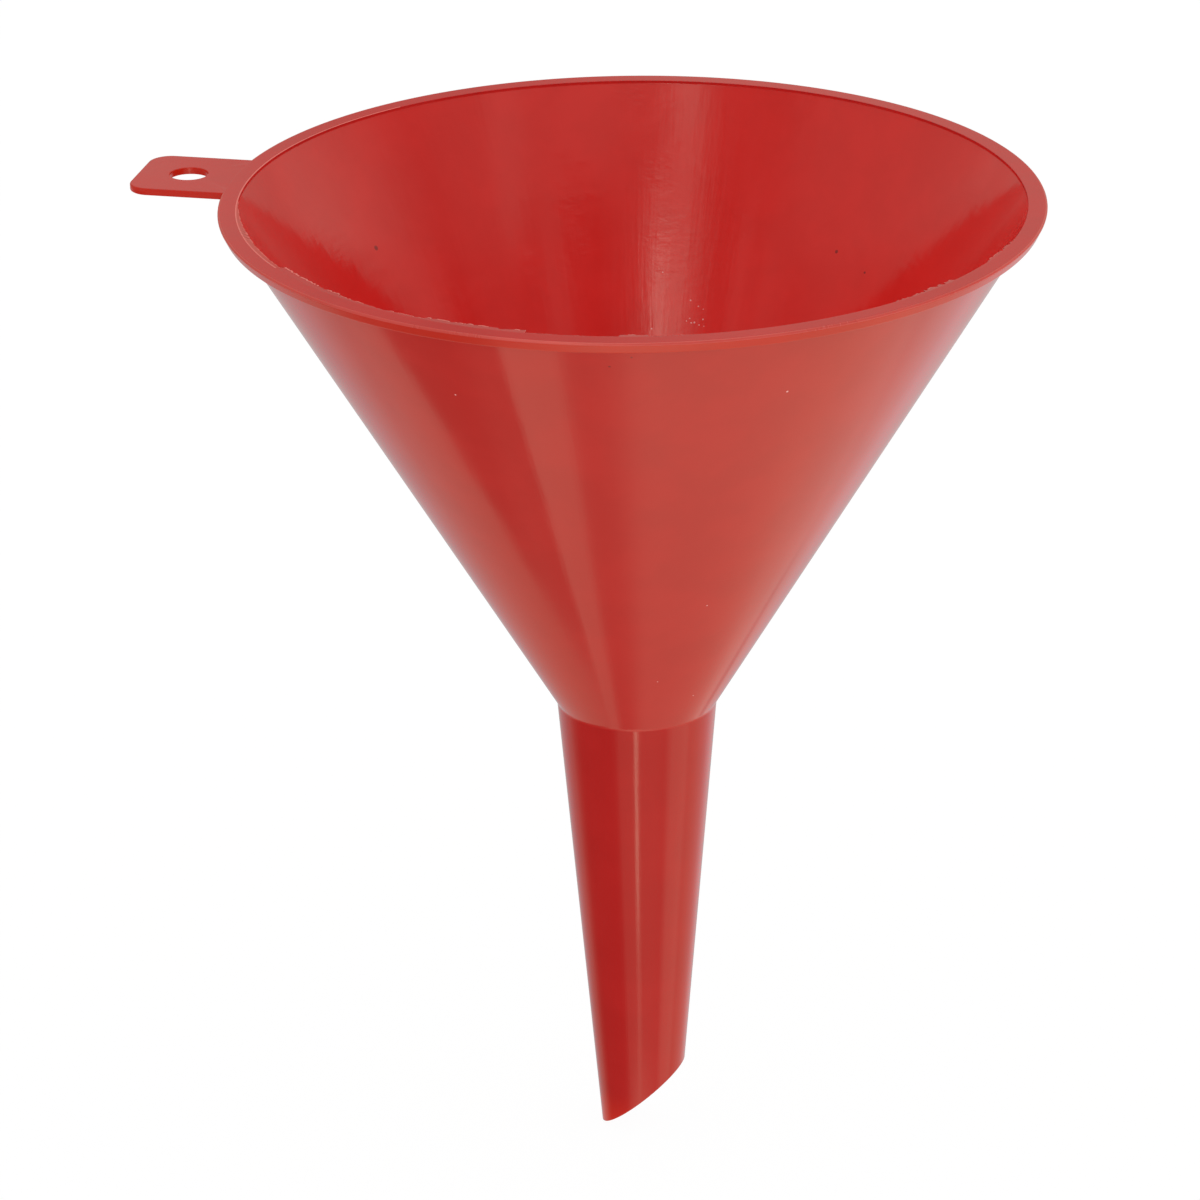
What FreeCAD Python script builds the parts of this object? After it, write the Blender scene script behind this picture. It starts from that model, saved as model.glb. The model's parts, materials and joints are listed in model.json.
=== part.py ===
import FreeCAD, Part
import math
import os
import Sketcher

# A one-piece moulded plastic funnel, split into closed solids where its form changes:
#   rim_flange  the flat ring round the mouth, thicker than the wall below it
#   bowl        the conical catching wall
#   throat      the short rounded ring where the bowl turns into the spout
#   spout       the tapered tube, cut off at a slant
#   hang_tab    the flat ear with a round hole for a hook
#
# Frame, in millimetres: +Z up along the axis, origin on the axis at the neck, which is
# the circle where the outside of the bowl would meet the outside of the spout if the
# throat weren't rounded. The hanging tab points along -X, and the slanted cut is lowest
# on that same side. The shape is symmetric about the XZ plane.

# name, value, meaning
DRIVING_SIZES = [
    ("rim_radius", 92.5, "outer radius of the rim's top face"),
    ("rim_draft", 1.1, "how much smaller the rim's edge is at its foot"),
    ("rim_thickness", 2.6, "height of the rim flange"),
    ("rim_height", 122.0, "rim's top face above the neck"),
    ("rim_break", 0.3, "bevel along the rim's outer edges"),
    ("land_height", 1.0, "upright inner edge at the top of the mouth"),
    ("bowl_top_radius", 88.7, "outer radius of the bowl under the rim"),
    ("neck_radius", 18.6, "outer radius at the neck"),
    ("wall", 1.4, "wall thickness of bowl, throat and spout, square to the wall"),
    ("throat_reach", 2.5, "height of the throat ring above and below the neck"),
    ("throat_round", 2.0, "hollow radius outside the throat"),
    ("spout_taper", 4.8, "slope of the spout's wall against the axis, degrees"),
    ("spout_length", 104.0, "neck to where the slanted cut crosses the axis"),
    ("cut_slant", 41.4, "slope of the cut against level, degrees"),
    ("tip_round", 0.2, "rounding of the cut's outer edge"),
    ("tab_reach", 114.5, "axis to the end of the hanging tab"),
    ("tab_width", 24.2, "width of the tab"),
    ("tab_thickness", 1.6, "thickness of the tab"),
    ("tab_corner", 5.0, "radius of the tab's two free corners"),
    ("tab_break", 0.3, "rounding of the tab's long edges"),
    ("hole_reach", 102.9, "axis to the centre of the hanging hole"),
    ("hole_radius", 4.4, "radius of the hanging hole"),
]

# Sizes that follow from the driving ones, as expressions for the document.
BOWL_RISE = "(dimensions.rim_height - dimensions.rim_thickness)"
BOWL_SLOPE = f"((dimensions.bowl_top_radius - dimensions.neck_radius) / {BOWL_RISE})"
SPOUT_SLOPE = "tan(dimensions.spout_taper)"
BOWL_WALL_ACROSS = f"(dimensions.wall * sqrt(1 + {BOWL_SLOPE}^2))"
SPOUT_WALL_ACROSS = "(dimensions.wall / cos(dimensions.spout_taper))"
UNDER_RIM = BOWL_RISE

# The inner surfaces of bowl and spout meet a little above the neck.
INNER_NECK_RISE = f"(({BOWL_WALL_ACROSS} - {SPOUT_WALL_ACROSS}) / ({BOWL_SLOPE} - {SPOUT_SLOPE}))"

# How far the sketches of cuts run past the material that they remove.
CUT_CLEARANCE = 5.0

# Two lengths nearer than this, in millimetres, are the same when edges are picked out.
SAME = 1e-3


def bowl_outside(height):
    return f"(dimensions.neck_radius + {BOWL_SLOPE} * {height})"


def bowl_inside(height):
    return f"({bowl_outside(height)} - {BOWL_WALL_ACROSS})"


def spout_outside(height):
    return f"(dimensions.neck_radius + {SPOUT_SLOPE} * {height})"


def spout_inside(height):
    return f"({spout_outside(height)} - {SPOUT_WALL_ACROSS})"


# The mouth is as wide as the bowl's inside is at the foot of the land.
LAND_FOOT = "(dimensions.rim_height - dimensions.land_height)"
MOUTH_RADIUS = bowl_inside(LAND_FOOT)

# The slanted cut crosses the axis at the spout's end, and is all above the uncut tube's foot.
SPOUT_END = "(0 - dimensions.spout_length)"
UNCUT_FOOT = f"({SPOUT_END} - dimensions.neck_radius * tan(dimensions.cut_slant))"


def slant_height(along_x):
    """Height of the cut plane at a distance along X."""
    return f"({SPOUT_END} + ({along_x}) * tan(dimensions.cut_slant))"


def fill_sheet(document):
    """The spreadsheet that every sub-part reads its sizes from."""
    sheet = document.addObject("Spreadsheet::Sheet", "dimensions")
    for row, (name, value, meaning) in enumerate(DRIVING_SIZES, start=1):
        sheet.set(f"A{row}", name)
        sheet.set(f"B{row}", str(value))
        sheet.setAlias(f"B{row}", name)
        sheet.set(f"C{row}", meaning)
    document.recompute()
    return sheet


def size_of(expression):
    """The number that an expression comes to, in millimetres or degrees."""
    value = sheet.evalExpression(expression)
    return float(getattr(value, "Value", value))


def new_body(name):
    body = document.addObject("PartDesign::Body", name)
    body.Label = name
    return body


def origin_plane(body, role):
    for feature in body.Origin.OriginFeatures:
        if feature.Role == role:
            return feature
    raise ValueError(f"{body.Label} has no {role}")


def new_sketch(body, name, plane):
    sketch = body.newObject("Sketcher::SketchObject", name)
    sketch.AttachmentSupport = [(origin_plane(body, plane), "")]
    sketch.MapMode = "FlatFace"
    return sketch


def bind_point(sketch, geometry, point, label, across, up):
    """Ties a point of the sketch to the origin by two bound distances."""
    for kind, expression in (("DistanceX", across), ("DistanceY", up)):
        name = f"{label}_{kind[-1].lower()}"
        constraint = Sketcher.Constraint(kind, -1, 1, geometry, point, size_of(expression))
        index = sketch.addConstraint(constraint)
        sketch.renameConstraint(index, name)
        sketch.setExpression(f"Constraints.{name}", expression)


def outline_sketch(body, name, plane, corners):
    """A closed outline of straight edges through corners given as pairs of expressions."""
    sketch = new_sketch(body, name, plane)
    spots = [FreeCAD.Vector(size_of(across), size_of(up), 0) for across, up in corners]
    for start, end in zip(spots, spots[1:] + spots[:1]):
        sketch.addGeometry(Part.LineSegment(start, end), False)
    count = len(corners)
    for edge in range(count):
        sketch.addConstraint(Sketcher.Constraint("Coincident", edge, 2, (edge + 1) % count, 1))
    for edge, (across, up) in enumerate(corners):
        bind_point(sketch, edge, 1, f"corner{edge}", across, up)
    return sketch


def turn(body, kind, name, corners):
    """Turns an outline on the XZ plane once round the Z axis, as material or as a cut."""
    sketch = outline_sketch(body, f"{name}_outline", "XZ_Plane", corners)
    feature = body.newObject(kind, name)
    feature.Profile = sketch
    feature.ReferenceAxis = (sketch, ["V_Axis"])
    feature.Angle = 360
    sketch.Visibility = False
    document.recompute()
    return feature


def round_edges(body, name, base, edge_is_wanted, radius):
    """Rounds the edges of base that the test picks out."""
    wanted = [f"Edge{n}" for n, edge in enumerate(base.Shape.Edges, start=1) if edge_is_wanted(edge)]
    if not wanted:
        raise ValueError(f"{body.Label}: {name} found no edge")
    fillet = body.newObject("PartDesign::Fillet", name)
    fillet.Base = (base, wanted)
    fillet.setExpression("Radius", radius)
    document.recompute()
    return fillet


def check_cut(before, after, name):
    """A cut that points the wrong way removes nothing and raises no error."""
    if not after.Shape.Volume < before.Shape.Volume:
        raise ValueError(f"{name} removed nothing")


def is_circle(edge, radius, height):
    """Whether an edge is a circle round the Z axis, of this radius at this height."""
    if not isinstance(edge.Curve, Part.Circle):
        return False
    same_radius = abs(edge.Curve.Radius - radius) < SAME
    same_height = abs(edge.Curve.Center.z - height) < SAME
    return same_radius and same_height


def rim_edge():
    """The rim's outer edge from top to foot: bevel, draft, bevel."""
    foot_radius = "(dimensions.rim_radius - dimensions.rim_draft)"
    return [
        ("dimensions.rim_radius - dimensions.rim_break", "dimensions.rim_height"),
        ("dimensions.rim_radius", "dimensions.rim_height - dimensions.rim_break"),
        (foot_radius, f"{UNDER_RIM} + dimensions.rim_break"),
        (f"{foot_radius} - dimensions.rim_break", UNDER_RIM),
    ]


def make_rim_flange():
    """A flat ring whose inner edge is upright for the land, then follows the bowl's inside."""
    body = new_body("rim_flange")
    corners = [(MOUTH_RADIUS, "dimensions.rim_height")]
    corners += rim_edge()
    corners += [(bowl_inside(UNDER_RIM), UNDER_RIM), (MOUTH_RADIUS, LAND_FOOT)]
    turn(body, "PartDesign::Revolution", "rim_ring", corners)
    return body


def make_bowl():
    """The cone from the top of the throat to the underside of the rim, of even thickness."""
    body = new_body("bowl")
    foot = "dimensions.throat_reach"
    corners = [
        (bowl_inside(foot), foot),
        (bowl_outside(foot), foot),
        (bowl_outside(UNDER_RIM), UNDER_RIM),
        (bowl_inside(UNDER_RIM), UNDER_RIM),
    ]
    turn(body, "PartDesign::Revolution", "cone_wall", corners)
    return body


def make_throat():
    """The ring where cone turns into tube, hollow outside and rounded over inside."""
    body = new_body("throat")
    top = "dimensions.throat_reach"
    foot = "(0 - dimensions.throat_reach)"
    corners = [
        (bowl_inside(top), top),
        (bowl_outside(top), top),
        ("dimensions.neck_radius", "0"),
        (spout_outside(foot), foot),
        (spout_inside(foot), foot),
        (bowl_inside(INNER_NECK_RISE), INNER_NECK_RISE),
    ]
    ring = turn(body, "PartDesign::Revolution", "throat_ring", corners)

    neck_radius = size_of("dimensions.neck_radius")
    outer = round_edges(
        body, "outer_round", ring,
        lambda edge: is_circle(edge, neck_radius, 0),
        "dimensions.throat_round",
    )

    inner_radius = size_of(bowl_inside(INNER_NECK_RISE))
    inner_height = size_of(INNER_NECK_RISE)
    round_edges(
        body, "inner_round", outer,
        lambda edge: is_circle(edge, inner_radius, inner_height),
        "dimensions.throat_round + dimensions.wall",
    )
    return body


def make_spout():
    """The tapered tube below the throat, cut off by a slanted plane, its outer lip rounded."""
    body = new_body("spout")
    top = "(0 - dimensions.throat_reach)"
    corners = [
        (spout_inside(top), top),
        (spout_outside(top), top),
        (spout_outside(UNCUT_FOOT), UNCUT_FOOT),
        (spout_inside(UNCUT_FOOT), UNCUT_FOOT),
    ]
    tube = turn(body, "PartDesign::Revolution", "tube_wall", corners)

    half_width = f"(dimensions.neck_radius + {CUT_CLEARANCE})"
    below = f"({UNCUT_FOOT} - {CUT_CLEARANCE} - {half_width})"
    waste_corners = [
        (f"(0 - {half_width})", slant_height(f"0 - {half_width}")),
        (half_width, slant_height(half_width)),
        (half_width, below),
        (f"(0 - {half_width})", below),
    ]
    waste = outline_sketch(body, "slant_outline", "XZ_Plane", waste_corners)
    cut = body.newObject("PartDesign::Pocket", "slanted_cut")
    cut.Profile = waste
    cut.Midplane = True
    cut.setExpression("Length", f"2 * {half_width}")
    waste.Visibility = False
    document.recompute()
    check_cut(tube, cut, "slanted_cut")

    slope = math.tan(math.radians(size_of("dimensions.cut_slant")))
    cut_height = size_of(SPOUT_END)

    def on_cut_plane(vertex):
        return abs(vertex.Z - cut_height - slope * vertex.X) < SAME

    lips = [edge for edge in cut.Shape.Edges if all(on_cut_plane(v) for v in edge.Vertexes)]
    longest = max(edge.Length for edge in lips)
    round_edges(
        body, "lip_round", cut,
        lambda edge: abs(edge.Length - longest) < SAME,
        "dimensions.tip_round",
    )
    return body


def make_hang_tab():
    """A flat ear, level with the rim's top face, that fits against the rim's outer edge."""
    body = new_body("hang_tab")
    tab_end = "(0 - dimensions.tab_reach)"
    tab_root = f"(0 - {MOUTH_RADIUS})"
    half_width = "(dimensions.tab_width / 2)"
    corners = [
        (tab_end, f"(0 - {half_width})"),
        (tab_root, f"(0 - {half_width})"),
        (tab_root, half_width),
        (tab_end, half_width),
    ]
    outline = outline_sketch(body, "ear_outline", "XY_Plane", corners)
    tab_foot = "dimensions.rim_height - dimensions.tab_thickness"
    outline.setExpression("AttachmentOffset.Base.z", tab_foot)
    plate = body.newObject("PartDesign::Pad", "ear_plate")
    plate.Profile = outline
    plate.setExpression("Length", "dimensions.tab_thickness")
    outline.Visibility = False
    document.recompute()

    end_x = size_of(tab_end)

    def is_free_corner(edge):
        ends = edge.Vertexes
        upright = abs(ends[0].Z - ends[-1].Z) > SAME
        return upright and all(abs(end.X - end_x) < SAME for end in ends)

    cornered = round_edges(body, "corner_round", plate, is_free_corner, "dimensions.tab_corner")

    top_z = size_of("dimensions.rim_height")
    foot_z = size_of(tab_foot)
    root_x = size_of(tab_root)

    def is_free_long_edge(edge):
        level = all(
            min(abs(end.Z - top_z), abs(end.Z - foot_z)) < SAME for end in edge.Vertexes
        )
        flat = edge.BoundBox.ZLength < SAME
        at_root = edge.BoundBox.XLength < SAME and abs(edge.CenterOfMass.x - root_x) < SAME
        return level and flat and not at_root

    softened = round_edges(body, "edge_round", cornered, is_free_long_edge, "dimensions.tab_break")

    # The rim takes up everything inside its own edge, so that the two meet face to face.
    above = f"(dimensions.rim_height + {CUT_CLEARANCE})"
    below = f"({UNDER_RIM} - {CUT_CLEARANCE})"
    edge_corners = rim_edge()
    seat_corners = [("0", above), (edge_corners[0][0], above)]
    seat_corners += edge_corners
    seat_corners += [(edge_corners[-1][0], below), ("0", below)]
    seat = turn(body, "PartDesign::Groove", "rim_seat", seat_corners)
    check_cut(softened, seat, "rim_seat")

    hole_sketch = new_sketch(body, "hole_outline", "XY_Plane")
    hole_sketch.setExpression("AttachmentOffset.Base.z", tab_foot)
    centre = FreeCAD.Vector(-size_of("dimensions.hole_reach"), 0, 0)
    radius = size_of("dimensions.hole_radius")
    hole_sketch.addGeometry(Part.Circle(centre, FreeCAD.Vector(0, 0, 1), radius), False)
    bind_point(hole_sketch, 0, 3, "centre", "0 - dimensions.hole_reach", "0")
    radius_row = hole_sketch.addConstraint(Sketcher.Constraint("Radius", 0, radius))
    hole_sketch.renameConstraint(radius_row, "hole_radius")
    hole_sketch.setExpression("Constraints.hole_radius", "dimensions.hole_radius")
    hole = body.newObject("PartDesign::Pocket", "hanging_hole")
    hole.Profile = hole_sketch
    hole.Midplane = True
    hole.setExpression("Length", "4 * dimensions.tab_thickness")
    hole_sketch.Visibility = False
    document.recompute()
    check_cut(seat, hole, "hanging_hole")
    return body


def check_document(bodies):
    """Stops before anything is written if an object failed or a solid isn't sound."""
    for item in document.Objects:
        if "Invalid" in item.State or "Error" in item.State:
            raise ValueError(f"{item.Name} failed: {item.State}")
    for body in bodies:
        shape = body.Shape
        if shape.isNull() or not shape.isValid() or len(shape.Solids) != 1:
            raise ValueError(f"{body.Label} isn't one sound solid")


document = FreeCAD.newDocument("funnel")
sheet = fill_sheet(document)
sub_parts = [make_rim_flange(), make_bowl(), make_throat(), make_spout(), make_hang_tab()]
document.recompute()
check_document(sub_parts)

os.makedirs("parts", exist_ok=True)
for sub_part in sub_parts:
    sub_part.Shape.exportStep(f"parts/{sub_part.Label}.step")
    box = sub_part.Shape.BoundBox
    print(
        f"{sub_part.Label}: {sub_part.Shape.Volume:.1f} mm3, "
        f"x {box.XMin:.2f} to {box.XMax:.2f}, z {box.ZMin:.2f} to {box.ZMax:.2f}"
    )
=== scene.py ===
import json
import math

import bpy
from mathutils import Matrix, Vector, noise


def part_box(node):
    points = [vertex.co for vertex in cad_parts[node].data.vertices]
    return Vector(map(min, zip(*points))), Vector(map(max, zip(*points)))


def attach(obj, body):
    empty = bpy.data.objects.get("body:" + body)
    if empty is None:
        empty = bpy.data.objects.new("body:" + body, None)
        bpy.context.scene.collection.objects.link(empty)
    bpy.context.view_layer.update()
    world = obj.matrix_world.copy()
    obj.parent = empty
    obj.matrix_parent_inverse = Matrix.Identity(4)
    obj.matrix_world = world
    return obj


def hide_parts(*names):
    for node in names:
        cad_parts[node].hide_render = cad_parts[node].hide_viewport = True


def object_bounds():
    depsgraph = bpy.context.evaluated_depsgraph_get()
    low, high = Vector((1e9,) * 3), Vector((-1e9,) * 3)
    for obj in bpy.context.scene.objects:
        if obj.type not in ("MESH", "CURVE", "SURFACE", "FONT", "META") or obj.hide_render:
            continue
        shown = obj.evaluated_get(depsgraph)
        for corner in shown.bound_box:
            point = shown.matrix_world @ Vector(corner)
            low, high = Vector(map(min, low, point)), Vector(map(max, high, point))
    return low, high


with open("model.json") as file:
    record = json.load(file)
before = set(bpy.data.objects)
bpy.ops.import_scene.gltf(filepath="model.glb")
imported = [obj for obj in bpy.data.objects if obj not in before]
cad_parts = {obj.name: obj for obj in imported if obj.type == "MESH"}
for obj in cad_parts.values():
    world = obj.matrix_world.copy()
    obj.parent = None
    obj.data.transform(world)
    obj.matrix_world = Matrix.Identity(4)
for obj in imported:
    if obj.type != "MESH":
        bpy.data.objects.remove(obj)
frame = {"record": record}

# The red plastic funnel: five visual pieces, one for each CAD node, built as closed
# meshes round the frame's Z axis. Lengths are metres, and azimuths in the tables are
# degrees from +X towards +Y, unless a comment says otherwise.

cad_low, cad_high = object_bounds()
rim_low, rim_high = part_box("rim_flange")
bowl_low, bowl_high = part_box("bowl")
throat_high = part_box("throat")[1]
spout_low, spout_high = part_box("spout")
tab_low, tab_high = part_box("hang_tab")
hole_mount = next(m for m in frame["record"]["mounts"] if m["name"] == "hang_hole")

MM = 0.001

# Sizes read from the frame.
RIM_RADIUS = rim_high.x
RIM_TOP = rim_high.z
RIM_FOOT = rim_low.z
BOWL_TOP_RADIUS = bowl_high.x
BOWL_FOOT = bowl_low.z
BOWL_FOOT_RADIUS = throat_high.x
SPOUT_TOP = spout_high.z
SPOUT_FOOT = spout_low.z
TAB_END = tab_low.x
TAB_HALF_WIDTH = tab_high.y
TAB_FOOT = tab_low.z
HOLE_CENTRE = Vector(hole_mount["pos_m"])
HOLE_RADIUS = hole_mount["dims"]["r_mm"] * MM

# Sizes of the moulding that no box in the frame gives.
WALL = 1.4 * MM
RIM_DRAFT = 1.1 * MM
LAND_HEIGHT = 0.7 * MM
RIM_ROUND = 0.4 * MM
RIM_FOOT_ROUND = 0.35 * MM
MOUTH_ROUND = 0.15 * MM
LAND_ROUND = 0.3 * MM
THROAT_ROUND = 2.0 * MM
SPOUT_TAPER = math.tan(math.radians(4.8))
CUT_SLOPE = math.tan(math.radians(41.4))
CUT_ON_AXIS = -104.0 * MM
LIP_ROUND = 0.24 * MM
INNER_LIP_ROUND = 0.15 * MM
TAB_CORNER = 5.0 * MM
TAB_BREAK = 0.3 * MM
HOLE_BREAK = 0.15 * MM

BOWL_SLOPE = (BOWL_TOP_RADIUS - BOWL_FOOT_RADIUS) / (RIM_FOOT - BOWL_FOOT)
NECK_RADIUS = BOWL_FOOT_RADIUS - BOWL_SLOPE * BOWL_FOOT
BOWL_WALL_ACROSS = WALL * math.hypot(1.0, BOWL_SLOPE)
SPOUT_WALL_ACROSS = WALL * math.hypot(1.0, SPOUT_TAPER)

# Mesh fineness.
BOWL_STEPS = 720
RIM_STEPS = 1800
SPOUT_STEPS = 288
ARC_STEPS = 5
TAB_SIDE_STEPS = 24
TAB_CORNER_STEPS = 16
BREAK_STEPS = 4
SUPPORT = 0.25 * MM
SHARP_ANGLE = math.radians(35)

# The most that a support point's step or an arc takes of a run.
MOST_SUPPORT = 0.3
MOST_ARC = 0.7

# The finishes, in the order of the material slots. The last two carry painted highlights, and the
# first of them also stands for whitened flash.
OUTSIDE, INSIDE, TOP, EDGE, TUBE, WHITENED_AND_HIGHLIGHT, PAINTED_HIGHLIGHT = range(7)


def bowl_outside(height):
    return NECK_RADIUS + BOWL_SLOPE * height


def bowl_inside(height):
    return bowl_outside(height) - BOWL_WALL_ACROSS


def spout_outside(height):
    return NECK_RADIUS + SPOUT_TAPER * height


def spout_inside(height):
    return spout_outside(height) - SPOUT_WALL_ACROSS


MOUTH_RADIUS = bowl_inside(RIM_TOP - LAND_HEIGHT)

# The rim's outer face leans out towards the top. Its top corner is drawn sharp, a little
# outside the rim's radius, and the rounding brings it back inside.
RIM_FOOT_RADIUS = RIM_RADIUS - RIM_DRAFT
CORNER_ALLOWANCE = 0.42
RIM_CORNER_RADIUS = RIM_RADIUS + CORNER_ALLOWANCE * RIM_ROUND
RIM_FACE_ANGLE = math.atan2(RIM_TOP - RIM_FOOT, RIM_CORNER_RADIUS - RIM_FOOT_RADIUS)
RIM_FLAT_RADIUS = RIM_CORNER_RADIUS - RIM_ROUND / math.tan(RIM_FACE_ANGLE / 2)


# ---------------------------------------------------------------- sections and meshes


def corner_arc(before, corner, after, radius, steps):
    """Points of the arc that rounds a corner between two straight runs."""
    back = (before - corner).normalized()
    ahead = (after - corner).normalized()
    half = back.angle(ahead) / 2
    shorter = min((before - corner).length, (after - corner).length)
    reach = min(radius / math.tan(half), MOST_ARC * shorter)
    radius = reach * math.tan(half)
    middle = (back + ahead).normalized()
    centre = corner + middle * (radius / math.sin(half))
    start = corner + back * reach - centre
    end = corner + ahead * reach - centre
    sweep = start.angle(end)
    points = []
    for step in range(steps + 1):
        share = step / steps
        along = math.sin((1 - share) * sweep) * start + math.sin(share * sweep) * end
        points.append(centre + along / math.sin(sweep))
    return points


def section(corners):
    """A closed section from (radius, height, rounding, side) corners.

    side is the finish of the run that starts at the corner. A fifth entry, where there
    is one, is the finish of the rounding itself. Every straight run gets a support point
    near each end, so that shading stays flat between them. Returns the points and, for
    each, the finish of the run that starts there.
    """
    spots = [Vector(corner[:2]) for corner in corners]
    count = len(corners)
    arcs = []
    for index, corner in enumerate(corners):
        before, spot, after = spots[index - 1], spots[index], spots[(index + 1) % count]
        rounding = corner[2]
        if rounding:
            arcs.append(corner_arc(before, spot, after, rounding, ARC_STEPS))
        else:
            arcs.append([spot])
    points = []
    sides = []
    for index, corner in enumerate(corners):
        end = arcs[index][-1]
        run = arcs[(index + 1) % count][0] - end
        step = run.normalized() * min(SUPPORT, MOST_SUPPORT * run.length)
        points += arcs[index] + [end + step, end + run - step]
        sides += [corner[-1]] * (len(arcs[index]) - 1) + [corner[3]] * 3
    return points, sides


def shaded_mesh(name, points, faces, sides):
    """A smooth-shaded object with one material index per face."""
    mesh = bpy.data.meshes.new(name)
    mesh.from_pydata(points, [], faces)
    mesh.polygons.foreach_set("material_index", sides)
    mesh.polygons.foreach_set("use_smooth", [True] * len(faces))
    mesh.set_sharp_from_angle(angle=SHARP_ANGLE)
    mesh.update()
    piece = bpy.data.objects.new(name, mesh)
    bpy.context.scene.collection.objects.link(piece)
    return piece


def ring_mesh(name, steps, section_at):
    """A closed ring round the Z axis from a section that may change with the azimuth."""
    points = []
    faces = []
    sides = []
    for step in range(steps):
        azimuth = 2 * math.pi * step / steps
        spots, spot_sides = section_at(math.degrees(azimuth))
        across, along = math.cos(azimuth), math.sin(azimuth)
        points += [(spot.x * across, spot.x * along, spot.y) for spot in spots]
        count = len(spots)
        here = step * count
        there = (step + 1) % steps * count
        for index in range(count):
            after = (index + 1) % count
            faces.append((here + index, there + index, there + after, here + after))
            sides.append(spot_sides[index])
    return shaded_mesh(name, points, faces, sides)


# ---------------------------------------------------------------- flash on the mouth

# The parting line left thin flash along the mouth's edge. Stretches of it: start and
# end azimuth, mean reach in mm at both ends, how uneven its edge is, also in mm, and its
# teeth's spacing in degrees.
FLASH = [
    (191.0, 204.0, 0.1, 1.3, 0.10, 2.6),
    (204.0, 221.4, 1.3, 1.9, 0.25, 2.6),
    (221.4, 236.0, 1.9, 1.5, 0.75, 2.6),
    (236.0, 252.0, 1.0, 0.5, 0.50, 2.0),
    (252.0, 267.0, 1.6, 2.0, 0.90, 2.6),
    (267.0, 280.0, 0.3, 0.2, 0.20, 1.5),
    (280.0, 284.0, 1.6, 1.2, 0.60, 1.5),
    (284.0, 290.0, 0.3, 0.2, 0.40, 1.5),
    (321.0, 327.0, 0.4, 0.6, 0.50, 0.8),
    (327.0, 333.0, 0.9, 0.7, 0.80, 0.8),
    (342.0, 351.0, 0.4, 0.3, 0.50, 0.8),
]
FLASH_THICKNESS = 0.22 * MM
FLASH_SINK = 0.01 * MM
LEAST_REACH = 0.03
TOOTH_SHARPNESS = 4.0
NOISE_ROW = 19.7

# The free edge droops by a share of its reach, and the teeth start at a share of it. The
# teeth above the last level below get a painted highlight.
FLASH_DROOP = 0.12
TOOTH_START = 0.8
HIGHLIT_TOOTH = 0.3

# Part of the flash has curled down; its face is whitened flash with a painted highlight. A painted
# highlight line runs beside it on the rim.
CURL = (191.0, 221.4)
CURL_DROOP = 0.5
HIGHLIGHT_LINE = (140.0, 221.4)
HIGHLIGHT_LINE_WIDTH = 0.30 * MM


def ragged(azimuth, spacing):
    """Unevenness with sharp teeth, from about -1 to 1."""
    level = 0.0
    for share, finer in ((0.6, 1.0), (0.4, 2.4)):
        wander = noise.noise(Vector((azimuth * finer / spacing, NOISE_ROW / finer, 0)))
        level += share * (1 - TOOTH_SHARPNESS * abs(wander))
    return level


def flash_shape(azimuth):
    """How far the flash stands in from the mouth's edge, in mm, and its tooth there."""
    for start, end, reach_start, reach_end, uneven, spacing in FLASH:
        if start <= azimuth < end:
            share = (azimuth - start) / (end - start)
            mean = reach_start + (reach_end - reach_start) * share
            tooth = ragged(azimuth, spacing)
            return max(LEAST_REACH, mean + uneven * tooth), tooth
    return LEAST_REACH, 0.0


def flash_droop(azimuth):
    """How far the flash's free edge hangs below the rim's top, in millimetres."""
    droop = CURL_DROOP if CURL[0] <= azimuth < CURL[1] else FLASH_DROOP
    return droop * flash_shape(azimuth)[0]


# ---------------------------------------------------------------- pieces


def rim_section(azimuth):
    reach_mm, tooth = flash_shape(azimuth)
    reach = reach_mm * MM
    droop = flash_droop(azimuth) * MM
    under = RIM_TOP - FLASH_THICKNESS
    # Along the highlight line by the mouth the band is a painted highlight. The curled flash's face
    # is whitened flash with a painted highlight, and the teeth that reach furthest get a painted
    # highlight.
    on_line = HIGHLIGHT_LINE[0] <= azimuth < HIGHLIGHT_LINE[1]
    band = PAINTED_HIGHLIGHT if on_line else TOP
    band_width = HIGHLIGHT_LINE_WIDTH if on_line else MOUTH_ROUND
    sliver = WHITENED_AND_HIGHLIGHT if CURL[0] <= azimuth < CURL[1] else TOP
    ragged_edge = PAINTED_HIGHLIGHT if tooth > HIGHLIT_TOOTH else sliver
    tooth_height = RIM_TOP - 4 * FLASH_SINK - TOOTH_START * droop
    return section([
        (bowl_inside(RIM_FOOT), RIM_FOOT, 0, OUTSIDE),
        (BOWL_TOP_RADIUS, RIM_FOOT, 0, OUTSIDE),
        (RIM_FOOT_RADIUS, RIM_FOOT, RIM_FOOT_ROUND, EDGE),
        # The rounding of the rim's top outer corner carries a painted highlight.
        (RIM_CORNER_RADIUS, RIM_TOP, RIM_ROUND, TOP, WHITENED_AND_HIGHLIGHT),
        (MOUTH_RADIUS + band_width, RIM_TOP, 0, band),
        (MOUTH_RADIUS, RIM_TOP - 2 * FLASH_SINK, 0, sliver),
        (MOUTH_RADIUS - TOOTH_START * reach, tooth_height, 0, ragged_edge),
        (MOUTH_RADIUS - reach, RIM_TOP - 5 * FLASH_SINK - droop, 0, sliver),
        (MOUTH_RADIUS - reach, under - droop, 0, INSIDE),
        (MOUTH_RADIUS, under, 0, INSIDE),
        (MOUTH_RADIUS, RIM_TOP - LAND_HEIGHT, LAND_ROUND, INSIDE),
    ])


def bowl_section(azimuth):
    return section([
        (bowl_inside(BOWL_FOOT), BOWL_FOOT, 0, OUTSIDE),
        (bowl_outside(BOWL_FOOT), BOWL_FOOT, 0, OUTSIDE),
        (bowl_outside(RIM_FOOT), RIM_FOOT, 0, INSIDE),
        (bowl_inside(RIM_FOOT), RIM_FOOT, 0, INSIDE),
    ])


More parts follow.
